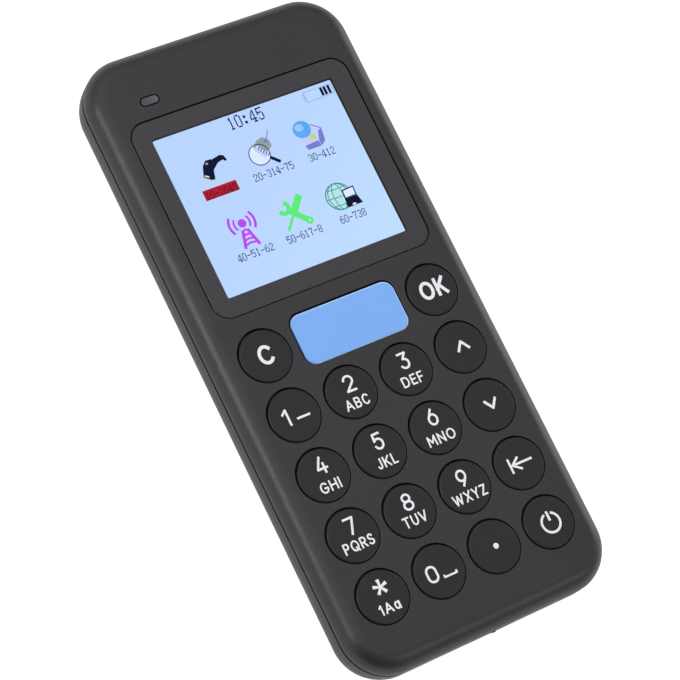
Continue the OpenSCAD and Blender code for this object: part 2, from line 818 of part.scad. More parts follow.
module keypad_mat() {
    color([0.6, 0.62, 0.65]) difference() {
        translate([0, (keys_y0 + keys_y1) / 2, 0])
            plate(board_w - board_side, keys_y1 - keys_y0, 4, board_z1, board_z1 + mat_t);
        key_holes(mat_hole_d, mat_hole_d, mat_hole_d, mat_hole_d / 2 - 0.01);
        at_board_screws() hole(boss_d + 6 * screw_clear);
    }
}

module status_led() {
    color([0.9, 0.9, 0.85]) block(lamp_x, lamp_y, board_z1, led[0], led[1], led[2]);
}

module light_pipe() {
    w = lamp_w - 2 * lamp_gap;
    l = lamp_l - 2 * lamp_gap;
    color([0.5, 0.47, 0.5]) translate([lamp_x, lamp_y, 0]) {
        plate(w, l, l / 2 - 0.01, under_z - lamp_rim_t / 2, body_t);
        plate(lamp_w + 2 * lamp_rim, lamp_l + 1, 0.6, under_z - lamp_rim_t, under_z);
    }
}

module usb_socket() {
    hollow_w = socket_w - 2 * socket_wall;
    hollow_h = socket_h - 2 * socket_wall;
    color(metal_color) translate([-socket_w / 2, socket_y, board_z0 - socket_h]) difference() {
        cube([socket_w, socket_l, socket_h]);
        difference() {
            translate([socket_wall, -1, socket_wall]) cube([hollow_w, socket_l, hollow_h]);
            translate([socket_wall + 0.8, socket_tongue, (socket_h - socket_tongue) / 2])
                cube([hollow_w - 1.6, socket_l, socket_tongue]);
        }
    }
}

// ---- battery ----

module battery_pack() {
    color([0.2, 0.24, 0.3])
        translate([0, (battery_y0 + battery_y1) / 2, (battery_z0 + battery_z1) / 2])
        rotate([90, 0, 0]) linear_extrude(battery_l, center = true)
        round_rect(battery_w, battery_t, battery_r);
}

module battery_contacts() {
    z0 = battery_z0 + liner_t;
    color([0.85, 0.7, 0.3]) {
        translate([-contact_w / 2, contact_y0, z0]) cube([contact_w, contact_l, board_z0 - z0]);
        for (x = [-0.3, 0, 0.3])
            translate([x * contact_w - 0.5, battery_y1 + contact_gap, z0 + 1])
            cube([1, contact_y0 - battery_y1, 1.2]);
    }
}

// ---- scanning head ----

module scan_engine() {
    color(part_color) difference() {
        union() {
            block(0, ear_y, engine_z0, engine_w, engine_l, engine_h);
            block(0, ear_y, ear_z0, engine_w + 2 * ear_w, ear_w + 1, ear_t);
        }
        at_ears() hole(ear_screw_d + 2 * screw_clear);
        for (s = [-1, 1])
            translate([s * lens_x, 0, 0]) in_head(lens_y0, lens_z) cylinder(d = lens_d + 0.1, h = 5);
        in_head(engine_y1 - 0.8, lens_z) plate(3.2, 3.2, 0.5, 0, 5);
    }
}

module engine_lens() {
    color([0.5, 0.2, 0.25]) for (s = [-1, 1])
        translate([s * lens_x, 0, 0]) in_head(lens_y0, lens_z) cylinder(d = lens_d, h = lens_l);
}

module engine_flex() {
    y0 = engine_y0 - engine_reach;
    color([0.8, 0.5, 0.15]) translate([-engine_flex_w / 2, y0, engine_z1])
        cube([engine_flex_w, engine_y0 + 3 - y0, flex_t]);
}

module scan_window() {
    color([0.4, 0.1, 0.12])
        in_head(scan_face_y - scan_t, scan_z) plate(scan_w, scan_h, 0.8, 0, scan_t);
}

module scan_window_seal() {
    color([0.1, 0.1, 0.1]) in_head(scan_face_y - scan_t - seal_t, scan_z) difference() {
        plate(scan_w, scan_h, 0.8, 0, seal_t);
        plate(aperture_w, aperture_h, 0.6, -1, seal_t + 1);
    }
}

// ---- sound, screws and label ----

module buzzer() {
    color(part_color) translate([sound_x, sound_y, floor_t]) difference() {
        cylinder(d = buzzer_d, h = buzzer_t);
        translate([0, 0, buzzer_t / 2]) cylinder(d = 2, h = buzzer_t);
    }
}

module vibration_motor() {
    color(metal_color) translate([-sound_x, sound_y, floor_t]) cylinder(d = motor_d, h = motor_t);
}

// Screw with its head below z = 0 and its shank above, with a cross in the head.
module screw(shank_l, d, head_d, head_t) {
    slot_w = head_d * 0.16;
    slot_l = head_d * 0.6;
    translate([0, 0, -head_t]) difference() {
        cylinder(d = head_d, h = head_t);
        block(0, 0, -1, slot_w, slot_l, 1 + head_t * 0.4);
        block(0, 0, -1, slot_l, slot_w, 1 + head_t * 0.4);
    }
    cylinder(d = d, h = shank_l);
}

module housing_screws() {
    color(metal_color) at_corners() translate([0, 0, screw_seat_z])
        screw(screw_tip_z - screw_seat_z, screw_d, screw_head_d, screw_head_t);
}

module board_screws() {
    color(metal_color) at_board_screws() translate([0, 0, board_z0])
        screw(screw_tip_z - board_z0, screw_d, screw_head_d, screw_head_t);
}

module engine_screws() {
    seat_z = ear_z0 + ear_t;
    color(metal_color) at_ears() translate([0, 0, seat_z]) rotate([180, 0, 0])
        screw(seat_z - floor_t + 0.4, ear_screw_d, ear_screw_d + 1.2, 0.9);
}

module rating_label() {
    color([0.8, 0.8, 0.8]) translate([0, label_y, 0])
        plate(label_w, label_l, 1, label_deep - label_t, label_deep);
}

// ---- keys ----

module round_key(k) {
    color(key_color) translate([col_x[k[1]], row_y[k[2]], 0]) {
        translate([0, 0, rim_z0]) cylinder(d = key_d, h = key_z1 - rim_z0);
        translate([0, 0, rim_z0]) cylinder(d = key_d + 2 * key_rim, h = key_rim_t);
        translate([0, 0, stem_z0]) cylinder(d = key_stem_d, h = rim_z1 - stem_z0);
    }
}

module key_scan() {
    color([0.5, 0.69, 0.96]) translate([0, row_y[0], 0]) {
        plate(scan_key_w, key_d, scan_key_r, rim_z0, key_z1);
        plate(scan_key_w + 2 * key_rim, key_d + 2 * key_rim, scan_key_r + key_rim, rim_z0, rim_z1);
        translate([0, 0, stem_z0]) cylinder(d = key_stem_d, h = rim_z1 - stem_z0);
    }
}

front_cover();
rear_cover();
housing_seal();
battery_door();
port_cover();
display_window();
window_mask();
window_tape();
lcd_panel();
lcd_frame();
lcd_flex();
main_board();
board_chips();
board_connectors();
snap_domes();
keypad_mat();
status_led();
light_pipe();
usb_socket();
battery_pack();
battery_contacts();
scan_engine();
engine_lens();
engine_flex();
scan_window();
scan_window_seal();
buzzer();
vibration_motor();
housing_screws();
board_screws();
engine_screws();
rating_label();
key_scan();
for (k = KEYS) round_key(k);
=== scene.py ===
import math

import bpy
from mathutils import Matrix, Vector
from mathutils.geometry import delaunay_2d_cdt


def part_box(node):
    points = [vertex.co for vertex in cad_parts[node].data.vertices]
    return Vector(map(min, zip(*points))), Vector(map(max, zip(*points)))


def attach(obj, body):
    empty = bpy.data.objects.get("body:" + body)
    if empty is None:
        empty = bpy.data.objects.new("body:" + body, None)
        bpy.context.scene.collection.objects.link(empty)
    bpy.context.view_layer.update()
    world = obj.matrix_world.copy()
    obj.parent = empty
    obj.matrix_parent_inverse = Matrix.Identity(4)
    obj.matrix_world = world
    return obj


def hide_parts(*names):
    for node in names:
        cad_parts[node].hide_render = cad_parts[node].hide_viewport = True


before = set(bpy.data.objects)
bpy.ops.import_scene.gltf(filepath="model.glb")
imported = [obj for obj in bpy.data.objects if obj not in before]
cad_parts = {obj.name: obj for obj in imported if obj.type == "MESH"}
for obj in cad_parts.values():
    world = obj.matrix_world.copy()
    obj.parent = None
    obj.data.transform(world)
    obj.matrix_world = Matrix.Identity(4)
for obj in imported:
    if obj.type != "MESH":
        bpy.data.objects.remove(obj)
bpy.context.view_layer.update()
scene = bpy.context.scene
MM = 0.001


def centre_of(node):
    """Middle of a node as seen from above, in millimetres."""
    lo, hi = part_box(node)
    return (lo.x + hi.x) / 2 / MM, (lo.y + hi.y) / 2 / MM


# ---- sizes, all in millimetres ----

BODY_W, BODY_L, CORNER_R = 55.45, 124.67, 9.1
SEAM_LOW, SEAM_HIGH = 10.5, 11.4
LIP_OUT, LIP_IN = 0.05, 0.85

KEY_D = 10.05
SCAN_W, SCAN_R = 22.1, 2.2
SCAN_X, SCAN_Y = centre_of("key_scan")
# The keys sit a little low and to the right in their holes
KEY_DX, KEY_DY = 0.12, -0.1
# The fillet round a key's face, and the flat strip between it and the face's inner loop
KEY_EDGE, KEY_EDGE_STEPS, KEY_STRIP = 0.32, 6, 0.6
KEY_RIM = 0.65
RIM_Z0, RIM_Z1 = 12.75, 13.35
STEM_R, STEM_INTO_RIM = 1.5, 0.1
# Height below which the scan key is painted dark navy, painted shade for the gap round it, and the
# widths of the painted highlight along its edge: none on the left
PAINTED_SHADE_Z = 14.6
HIGHLIGHT_LEFT, HIGHLIGHT_RIGHT, HIGHLIGHT_FOOT, HIGHLIGHT_HEAD, HIGHLIGHT_R = -0.09, 0.25, 0.15, 0.25, 2.1

WINDOW_LO, WINDOW_HI = (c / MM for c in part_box("display_window"))
WINDOW_W, WINDOW_L = WINDOW_HI.x - WINDOW_LO.x, WINDOW_HI.y - WINDOW_LO.y
WINDOW_Y = (WINDOW_LO.y + WINDOW_HI.y) / 2
WINDOW_R = 3.25
CHAMFER = 0.12
# The pane sits close to the foot of its recess
NEAR_FOOT = 0.12
# The window's black edge, painted shade for the groove round the pane, which isn't drawn along the
# foot
SHADE_EDGE, BARE_FOOT = 0.03, 0.6
# The opening in the print, and how far it lies off the window's middle
CLEAR_W, CLEAR_L, CLEAR_R = 38.75, 33.0, 0.3
CLEAR_DX, CLEAR_DY = -0.3, -0.1

# The lamp's clear part inside its black rim, which is painted shade for the gap round the lens
LAMP_X, LAMP_Y, LAMP_W, LAMP_L, LAMP_R = -16.375, 51.935, 3.46, 1.46, 0.73

PIXEL = 0.1275
TRACK = 0.3


# ---- materials ----

def lin(r, g, b):
    """A screen colour from 0 to 255 as the linear colour that shaders take."""
    return tuple(c / 255 / 12.92 if c <= 10 else ((c / 255 + 0.055) / 1.055) ** 2.4
                 for c in (r, g, b)) + (1,)


def scaled(colour, k):
    """The colour, k times as bright."""
    return tuple(c * k for c in colour[:3]) + (1,)


def grey(k):
    return (k, k, k, 1)


WHITE = grey(1)


class Tree:
    """The node tree of a new material, or of a world, with short ways to add nodes."""

    def __init__(self, name, world=None):
        self.owner = world or bpy.data.materials.new(name)
        self.owner.use_nodes = True
        self.nodes = self.owner.node_tree.nodes
        self.links = self.owner.node_tree.links
        self.nodes.clear()
        self.out = self.nodes.new("ShaderNodeOutput" + ("World" if world else "Material"))
        where = "Generated" if world else "Object"
        self.place = self.nodes.new("ShaderNodeTexCoord").outputs[where]

    def node(self, kind, inputs=(), **props):
        n = self.nodes.new("ShaderNode" + kind)
        for k, v in props.items():
            setattr(n, k, v)
        for k, v in dict(inputs).items():
            if isinstance(v, bpy.types.NodeSocket):
                self.links.new(v, n.inputs[k])
            else:
                n.inputs[k].default_value = v
        return n

    def math(self, operation, a, b):
        return self.node("Math", {0: a, 1: b}, operation=operation).outputs[0]

    def vector(self, operation, a, b=(0, 0, 0), out=0):
        return self.node("VectorMath", {0: a, 1: b}, operation=operation).outputs[out]

    def along(self, axis, place=None):
        """One coordinate of a place, which is the shaded point if none is given."""
        place = self.place if place is None else place
        return self.node("SeparateXYZ", {"Vector": place}).outputs[axis]

    def noise(self, scale, detail=2.0, rough=0.5):
        return self.node("TexNoise", {"Vector": self.place, "Scale": scale, "Detail": detail,
                                      "Roughness": rough}).outputs["Fac"]

    def streaks(self, scale, detail):
        """Noise that is stretched by another scale along each axis."""
        place = self.node("Mapping", {"Vector": self.place, "Scale": scale}).outputs["Vector"]
        return self.node("TexNoise", {"Vector": place, "Scale": 1.0,
                                      "Detail": detail}).outputs["Fac"]

    def ramp(self, fac, stops):
        n = self.node("ValToRGB", {"Fac": fac})
        while len(n.color_ramp.elements) < len(stops):
            n.color_ramp.elements.new(0.5)
        for e, (pos, col) in zip(n.color_ramp.elements, stops):
            e.position, e.color = pos, col
        return n.outputs["Color"]

    def shades(self, fac, colour, k):
        """The colour, darkened by the factor k where fac is low."""
        return self.ramp(fac, [(0.3, scaled(colour, k)), (0.7, colour)])

    def remap(self, fac, lo, hi, low=0.3, high=0.7):
        return self.node("MapRange", {"Value": fac, "From Min": low, "From Max": high,
                                      "To Min": lo, "To Max": hi}).outputs["Result"]

    def times(self, a, b):
        """Two colours multiplied."""
        return self.node("Mix", {"Factor": 1.0, "A": a, "B": b},
                         data_type="RGBA", blend_type="MULTIPLY").outputs[2]

    def bump(self, height, distance):
        return self.node("Bump", {"Height": height, "Distance": distance,
                                  "Strength": 1.0}).outputs["Normal"]

    def plastic(self, colour, rough, grain, depth, spec=0.35, vary=0.06):
        """Moulded plastic: fine spark-eroded grain, faint flow clouds and an uneven gloss."""
        fine = self.noise(grain, 3.0, 0.6)
        stops = [(0.3, scaled(colour, 1 - vary)), (0.7, scaled(colour, 1 + vary))]
        return self.node("BsdfPrincipled", {
            "Base Color": self.ramp(self.noise(60, 3.0), stops),
            "Roughness": self.remap(fine, rough - 0.05, rough + 0.06),
            "Specular IOR Level": spec, "Normal": self.bump(fine, depth)}).outputs["BSDF"]

    def dull(self, colour):
        return self.node("BsdfDiffuse", {"Color": colour}).outputs[0]

    def emission(self, colour, strength):
        return self.node("Emission", {"Color": colour, "Strength": strength}).outputs[0]

    def reach(self, cx, cy, w, l, r):
        """Distance in metres, seen from above, from the core of a rectangle with round corners.

        The core is the rectangle without its outermost r. The arguments are in millimetres.
        """
        core = ((w / 2 - r) * MM, (l / 2 - r) * MM, 1)
        away = self.vector("SUBTRACT", self.place, (cx * MM, cy * MM, 0))
        away = self.vector("SUBTRACT", self.vector("ABSOLUTE", away), core)
        return self.vector("LENGTH", self.vector("MAXIMUM", away), out="Value")

    def outside(self, cx, cy, w, l, r):
        """1 outside a rectangle with round corners seen from above, and 0 inside."""
        return self.math("GREATER_THAN", self.reach(cx, cy, w, l, r), r * MM)

    def mix(self, share, first, second):
        return self.node("MixShader", {0: share, 1: first, 2: second}).outputs[0]

    def both(self, first, second):
        return self.node("AddShader", {0: first, 1: second}).outputs[0]

    def surface(self, shader):
        self.links.new(shader, self.out.inputs["Surface"])
        return self.owner

    def principled(self, **inputs):
        names = {k.replace("_", " "): v for k, v in inputs.items()}
        return self.surface(self.node("BsdfPrincipled", names).outputs["BSDF"])


def moulded(name, look):
    """Plastic or rubber that looks like a row of PLASTICS."""
    t = Tree(name)
    return t.surface(t.plastic(*look))


def scan_key():
    """A blue key. Its face has a painted highlight along its edge on three sides, none on the
    left, and below the face it is painted dark navy, painted shade for the gap round the key.
    """
    t = Tree("blue_key")
    # A blue face, a pale blue for the painted highlight on its edge, and a dark navy for the
    # painted shade on its sides and rim
    face, painted_edge, base = (t.plastic(c, 0.5, 4200, 0.000005, vary=0.015) for c in
                        (lin(130, 184, 255), lin(196, 218, 255), lin(14, 20, 46)))
    x = SCAN_X + KEY_DX + (HIGHLIGHT_LEFT - HIGHLIGHT_RIGHT) / 2
    y = SCAN_Y + KEY_DY + (HIGHLIGHT_FOOT - HIGHLIGHT_HEAD) / 2
    w, l = SCAN_W - (HIGHLIGHT_LEFT + HIGHLIGHT_RIGHT), KEY_D - (HIGHLIGHT_FOOT + HIGHLIGHT_HEAD)
    # The painted highlight lies outside this rectangle, which reaches past the key's left edge
    cap = t.mix(t.outside(x, y, w, l, HIGHLIGHT_R), face, painted_edge)
    # Below the face the key is painted dark navy, painted shade for the gap round it
    return t.surface(t.mix(t.math("LESS_THAN", t.along("Z"), PAINTED_SHADE_Z * MM), cap, base))


def print_with_painted_glow():
    """Printed film with a faint glow of its own, painted light that lifts the shade cast on it
    under the window's print.
    """
    t = Tree("mask")
    # The faint emission is painted light, not light let through
    return t.surface(t.both(t.plastic(*MASK), t.emission((0.95, 0.97, 1, 1), 0.022)))


def metal(name, colour, rough, brushed=True):
    """Sheet metal with fine lines along X, or a turned screw with faint stains."""
    t = Tree(name)
    lines = t.streaks((60, 6000, 6000), 2.0) if brushed else t.noise(1500, 3.0)
    return t.principled(
        Base_Color=t.shades(t.noise(150, 4.0), colour, 0.85), Metallic=1.0,
        Roughness=t.remap(lines, rough, rough + 0.15), Normal=t.bump(lines, 0.000004))


def clear_plastic(t, tint, rough, clear):
    """Clear plastic with a faintly uneven surface."""
    return t.node("BsdfPrincipled", {
        "Base Color": tint, "Roughness": rough, "Transmission Weight": clear, "IOR": 1.5,
        "Normal": t.bump(t.noise(1200, 2.0), 0.000003)}).outputs["BSDF"]


def frosted(name, colour, rough, clear):
    """Clear or milky plastic with a slightly cloudy tint."""
    t = Tree(name)
    tint = t.shades(t.noise(300, 2.0), colour, 0.92)
    return t.surface(clear_plastic(t, tint, rough, clear))


def lamp_lens():
    """Grey lens with a painted reflection that makes it paler towards the right, and a black rim
    of painted shade for the gap round it.
    """
    t = Tree("lens_grey")
    tint = t.shades(t.noise(300, 2.0), lin(80, 77, 83), 0.92)
    left, right = (LAMP_X - LAMP_W / 2) * MM, (LAMP_X + LAMP_W / 2) * MM
    # Painted reflection: the lens gets paler towards the right
    painted_reflection = t.ramp(t.remap(t.along("X"), 0.0, 1.0, left, right),
                   [(0.0, grey(0.72)), (0.6, WHITE), (0.9, (1.35, 1.33, 1.35, 1))])
    lens = clear_plastic(t, t.times(tint, painted_reflection), 0.35, 0.0)
    # The rim is painted black, painted shade for the gap round the lens
    painted_shade_rim = t.outside(LAMP_X, LAMP_Y, LAMP_W, LAMP_L, LAMP_R)
    return t.surface(t.mix(painted_shade_rim, lens, t.dull(lin(20, 20, 22))))


MOST_GLARE = 0.07


def anti_glare():
    """The display window: clear with a dull reflection over the picture, printed round it, with a
    black edge of painted shade for the groove round it.
    """
    t = Tree("window")
    matt = t.bump(t.noise(3500, 2.0), 0.000002)
    gloss = t.node("BsdfGlossy", {"Color": WHITE, "Roughness": 0.3, "Normal": matt})
    clear = t.node("BsdfTransparent", {"Color": (0.98, 0.985, 0.99, 1)})
    glare = t.math("MINIMUM", t.node("Fresnel", {"IOR": 1.11}).outputs["Fac"], MOST_GLARE)
    pane = t.mix(glare, clear.outputs[0], gloss.outputs[0])
    border = t.outside(CLEAR_DX, WINDOW_Y + CLEAR_DY, CLEAR_W, CLEAR_L, CLEAR_R)
    pane = t.mix(border, pane, t.plastic(*MASK))
    # Painted shade: a black edge round the pane, but not along its foot
    painted_edge = t.outside(0, WINDOW_Y - BARE_FOOT / 2, WINDOW_W - 2 * SHADE_EDGE,
                     WINDOW_L - 2 * SHADE_EDGE + BARE_FOOT, WINDOW_R - SHADE_EDGE)
    return t.surface(t.mix(painted_edge, pane, t.dull(lin(31, 31, 33))))


def lit(name, colour, second=None):
    """A glowing part of the picture, with the fine grid of the display's dots over it."""
    t = Tree(name)
    dots = t.node("Mapping", {"Vector": t.place, "Scale": (1 / (PIXEL * MM),) * 3})
    grid = t.node("TexBrick", {
        "Vector": dots.outputs["Vector"], "Scale": 1.0, "Mortar Size": 0.08,
        "Mortar Smooth": 0.3, "Brick Width": 1.0, "Row Height": 1.0, "Color1": WHITE,
        "Color2": (0.97, 0.97, 0.98, 1), "Mortar": grey(0.9)}, offset=0.0, squash=1.0)
    if second:
        slope = t.node("Mapping", {"Vector": t.place, "Rotation": (0, 0, math.radians(50)),
                                   "Location": (0.5, 0.0, 0.0), "Scale": (18, 18, 18)})
        tint = t.ramp(t.along("X", slope.outputs["Vector"]), [(0.0, second), (1.0, colour)])
    else:
        tint = t.shades(t.noise(400, 2.0), colour, 0.94)
    return t.principled(
        Base_Color=(0.001, 0.001, 0.002, 1), Roughness=0.5, Specular_IOR_Level=0.02,
        Emission_Color=t.times(tint, grid.outputs["Color"]), Emission_Strength=1.1)


def circuit_board():
    """Green solder mask with copper runs that show through it as a faint raised pattern."""
    t = Tree("board")
    black = grey(0)
    runs = t.node("TexBrick", {
        "Vector": t.place, "Scale": 900.0, "Mortar Size": 0.25, "Brick Width": 3.0,
        "Row Height": 0.8, "Color1": black, "Color2": black, "Mortar": WHITE}).outputs["Fac"]
    return t.principled(
        Base_Color=t.ramp(runs, [(0.2, (0.02, 0.12, 0.05, 1)), (0.8, (0.03, 0.17, 0.07, 1))]),
        Roughness=0.35, Normal=t.bump(runs, 0.00001))


def flex_film():
    """Flexible circuit: amber film with copper tracks along Y."""
    t = Tree("flex")
    amber = (0.6, 0.28, 0.04, 1)
    tracks = t.remap(t.math("PINGPONG", t.along("X"), TRACK * MM), 0.0, 1.0, 0.0, TRACK * MM)
    return t.principled(Base_Color=t.ramp(tracks, [(0.45, scaled(amber, 0.6)), (0.55, amber)]),
                        Roughness=0.35)


def paper():
    """Satin label stock with short fibres."""
    t = Tree("label")
    strands = t.streaks((900, 5000, 900), 3.0)
    return t.principled(Base_Color=t.shades(strands, lin(208, 208, 206), 0.93),
                        Roughness=0.45, Normal=t.bump(strands, 0.000004))


def ink():
    """White key print, a little uneven as pad print is."""
    t = Tree("ink")
    stops = [(0.3, lin(240, 242, 248)), (0.7, lin(252, 253, 255))]
    return t.principled(Base_Color=t.ramp(t.noise(2500, 2.0), stops),
                        Roughness=0.5, Specular_IOR_Level=0.3)


# Plastics and rubbers: colour, roughness, scale and depth of the grain, level of the gloss
MASK = (lin(50, 50, 53), 0.42, 3500, 0.000004, 0.5)
PLASTICS = {
    "cover": (lin(43, 43, 46), 0.38, 4600, 0.00003, 0.45),
    "key": (lin(35, 34, 37), 0.48, 4200, 0.000006, 0.32),
    "chip": (lin(34, 34, 36), 0.45, 6000, 0.00001, 0.35),
    "connector": (lin(222, 214, 190), 0.5, 5000, 0.00001, 0.35),
    "black_rubber": (lin(42, 42, 44), 0.65, 3800, 0.00002, 0.3),
    "mat_rubber": (lin(160, 162, 166), 0.65, 3800, 0.00001, 0.25),
    # The seal's lip: very dark and dull, painted shade for the parting groove
    "seal_lip": (lin(27, 27, 28), 0.9, 3800, 0.00001, 0.05),
    "tape": (lin(24, 24, 24), 0.8, 2500, 0.00003, 0.15),
    "battery": (lin(70, 76, 86), 0.4, 900, 0.00002, 0.35),
}
made = {name: moulded(name, look) for name, look in PLASTICS.items()}
made["blue_key"] = scan_key()
made["mask"] = print_with_painted_glow()
made["steel"] = metal("steel", (0.6, 0.6, 0.62, 1), 0.28)
made["screw"] = metal("screw", (0.12, 0.12, 0.13, 1), 0.35, brushed=False)
made["contacts"] = metal("contacts", (0.75, 0.55, 0.2, 1), 0.25)
made["window"] = anti_glare()
made["display"] = lit("display", lin(198, 226, 255), lin(184, 211, 252))
made["board"] = circuit_board()
made["flex"] = flex_film()
made["led"] = frosted("led", lin(236, 236, 220), 0.25, 0.3)
made["lens_grey"] = lamp_lens()
made["lens_red"] = frosted("lens_red", lin(118, 14, 20), 0.06, 0.4)
made["label"] = paper()
INK = ink()

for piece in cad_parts.values():
    for place in piece.material_slots:
        place.material = made[place.material.name.split(".")[0]]


# ---- flat shapes, all in millimetres ----

def ellipse(cx, cy, rx, ry=None, start=0, end=360, steps=28):
    """Points of an arc, turning from start to end in degrees."""
    ry = rx if ry is None else ry
    n = max(3, round(abs(end - start) / 360 * steps))
    turns = [math.radians(start + (end - start) * i / n) for i in range(n + 1)]
    return [(cx + rx * math.cos(a), cy + ry * math.sin(a)) for a in turns]


def disc(cx, cy, rx, ry=None, steps=24):
    """The face of a circle or an ellipse, in a list."""
    return [ellipse(cx, cy, rx, ry, steps=steps)[:-1]]


# Cosine of the sharpest turn that gets a mitre, and the limit of the mitre's length
SOFT_TURN, MITRE = 0.55, 0.5
SAME_POINT = 1e-5


def ribbon(path, width, square=True):
    """Faces of a stroke along a path. Sharp corners get a disc, soft ones a mitre."""
    pts = [Vector(p) for p in path]
    pts = [p for i, p in enumerate(pts) if i == 0 or (p - pts[i - 1]).length > SAME_POINT]
    closed = (pts[0] - pts[-1]).length < SAME_POINT
    if closed:
        pts = pts[:-1]
    n, half = len(pts), width / 2
    count = n if closed else n - 1
    along = [(pts[(i + 1) % n] - pts[i]).normalized() for i in range(count)]
    faces, corners = [], []
    for i in range(n):
        before = along[i - 1] if closed or i > 0 else along[0]
        after = along[i % count] if closed or i < count else along[-1]
        if max(-1.0, min(1.0, before.dot(after))) < SOFT_TURN:
            corners.append(None)
            faces += disc(pts[i].x, pts[i].y, half, steps=12)
        else:
            mid = (before + after).normalized()
            corners.append(Vector((-mid.y, mid.x)) * (half / max(MITRE, mid.dot(before))))
    for i in range(count):
        a, b, d = pts[i], pts[(i + 1) % n], along[i]
        side = Vector((-d.y, d.x)) * half
        ca, cb = corners[i] or side, corners[(i + 1) % n] or side
        if not closed and square:
            a = a - d * half if i == 0 else a
            b = b + d * half if i == count - 1 else b
        faces.append([a - ca, b - cb, b + cb, a + ca])
    return faces


def block(x0, x1, y0, y1):
    """The face of an upright rectangle, in a list."""
    return [[(x0, y0), (x1, y0), (x1, y1), (x0, y1)]]


def united(faces):
    """The faces as triangles that don't overlap, with their corner points."""
    points, loops = [], []
    for f in faces:
        f = [Vector(p) for p in f]
        area = sum(f[i - 1].x * f[i].y - f[i].x * f[i - 1].y for i in range(len(f)))
        f = f if area > 0 else f[::-1]
        loops.append(list(range(len(points), len(points) + len(f))))
        points += f
    out = delaunay_2d_cdt(points, [], loops, 1, SAME_POINT)
    return out[0], [f for f, source in zip(out[2], out[5]) if source]


def placed(name, mesh, body):
    """A new piece with this mesh that rides on a body."""
    mesh.update()
    piece = bpy.data.objects.new(name, mesh)
    scene.collection.objects.link(piece)
    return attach(piece, body)


def plates(name, layers, body):
    """One piece of flat plates. A layer is (material, faces, lowest z, highest z)."""
    verts, tris, index, mats = [], [], [], []
    for mat, faces, z0, z1 in layers:
        if mat not in mats:
            mats.append(mat)
        pts, top = united(faces)
        base, n = len(verts), len(pts)
        verts += [(p.x * MM, p.y * MM, z * MM) for z in (z1, z0) for p in pts]
        edges = {}
        for f in top:
            tris.append([base + i for i in f])
            tris.append([base + n + i for i in reversed(f)])
            edges.update(dict.fromkeys(zip(f, f[1:] + f[:1])))
        for i, j in edges:
            if (j, i) not in edges:
                tris.append([base + i, base + n + i, base + n + j, base + j])
        index += [mats.index(mat)] * (len(tris) - len(index))
    mesh = bpy.data.meshes.new(name)
    mesh.from_pydata(verts, [], tris)
    for m in mats:
        mesh.materials.append(m)
    mesh.polygons.foreach_set("material_index", index)
    return placed(name, mesh, body)


# ---- keys ----

# Least radius of a corner, steps of a full turn, and the angle from which an edge is sharp
LEAST_R, TURN_STEPS, SHARP = 0.02, 64, math.radians(35)


def rounded(w, l, r, inset, z):
    """A loop round a rectangle with round corners, moved inwards by inset."""
    hw, hl, rr = w / 2 - inset, l / 2 - inset, max(r - inset, LEAST_R)
    loop = []
    for k, (sx, sy) in enumerate(((1, 1), (-1, 1), (-1, -1), (1, -1))):
        corner = ellipse(sx * (hw - rr), sy * (hl - rr), rr, start=90 * k, end=90 * k + 90,
                         steps=TURN_STEPS)
        loop += [(x, y, z) for x, y in corner]
    return loop


def lofted(name, stacks, mat, cx, cy, body, ring=False):
    """Closed shells, each through a stack of loops with as many points each.

    In a ring the last loop leads back to the first, so nothing is capped.
    """
    verts, faces = [], []
    for loops in stacks:
        base, n = len(verts), len(loops[0])
        verts += [((x + cx) * MM, (y + cy) * MM, z * MM) for loop in loops for x, y, z in loop]
        for k in range(len(loops) - (not ring)):
            under, over = base + k * n, base + (k + 1) % len(loops) * n
            for i in range(n):
                j = (i + 1) % n
                faces.append([under + i, over + i, over + j, under + j])
        if not ring:
            last = base + (len(loops) - 1) * n
            faces.append([base + i for i in range(n)])
            faces.append([last + i for i in reversed(range(n))])
    mesh = bpy.data.meshes.new(name)
    mesh.from_pydata(verts, [], faces)
    mesh.materials.append(mat)
    mesh.polygons.foreach_set("use_smooth", [True] * len(mesh.polygons))
    mesh.set_sharp_from_angle(angle=SHARP)
    return placed(name, mesh, body)


def key_stack(w, l, r, z1):
    """Key body with a filleted top edge and the rim that keeps it in."""
    stack = [rounded(w, l, r, KEY_EDGE + KEY_STRIP, z1), rounded(w, l, r, KEY_EDGE, z1)]
    for k in range(1, KEY_EDGE_STEPS + 1):
        a = math.radians(90 * k / KEY_EDGE_STEPS)
        inset, down = KEY_EDGE * (1 - math.sin(a)), KEY_EDGE * (1 - math.cos(a))
        stack.append(rounded(w, l, r, inset, z1 - down))
    return stack + [rounded(w, l, r, 0, RIM_Z1), rounded(w, l, r, -KEY_RIM, RIM_Z1),
                    rounded(w, l, r, -KEY_RIM, RIM_Z0)]


def make_key(node, w, l, r, slot):
    """One key with its stem. Returns its middle and its height, for the print."""
    lo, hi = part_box(node)
    cx, cy = centre_of(node)
    z0, z1 = lo.z / MM, hi.z / MM
    cap = [[(x + KEY_DX, y + KEY_DY, z) for x, y, z in loop] for loop in key_stack(w, l, r, z1)]
    stem = [rounded(2 * STEM_R, 2 * STEM_R, STEM_R, 0, z) for z in (RIM_Z0 + STEM_INTO_RIM, z0)]
    piece = lofted(node + "_cap", [cap, stem], made[slot], cx, cy, node)
    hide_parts(node)
    return cx, cy, z1


# ---- display window: a pane with a small chamfer round its face ----

pane = [rounded(WINDOW_W, WINDOW_L + NEAR_FOOT, WINDOW_R, inset, z) for inset, z in
        ((CHAMFER, WINDOW_HI.z), (0, WINDOW_HI.z - CHAMFER), (0, WINDOW_LO.z))]
pane = lofted("display_window_pane", [pane], made["window"], 0, WINDOW_Y - NEAR_FOOT / 2,
              "housing")
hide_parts("display_window")

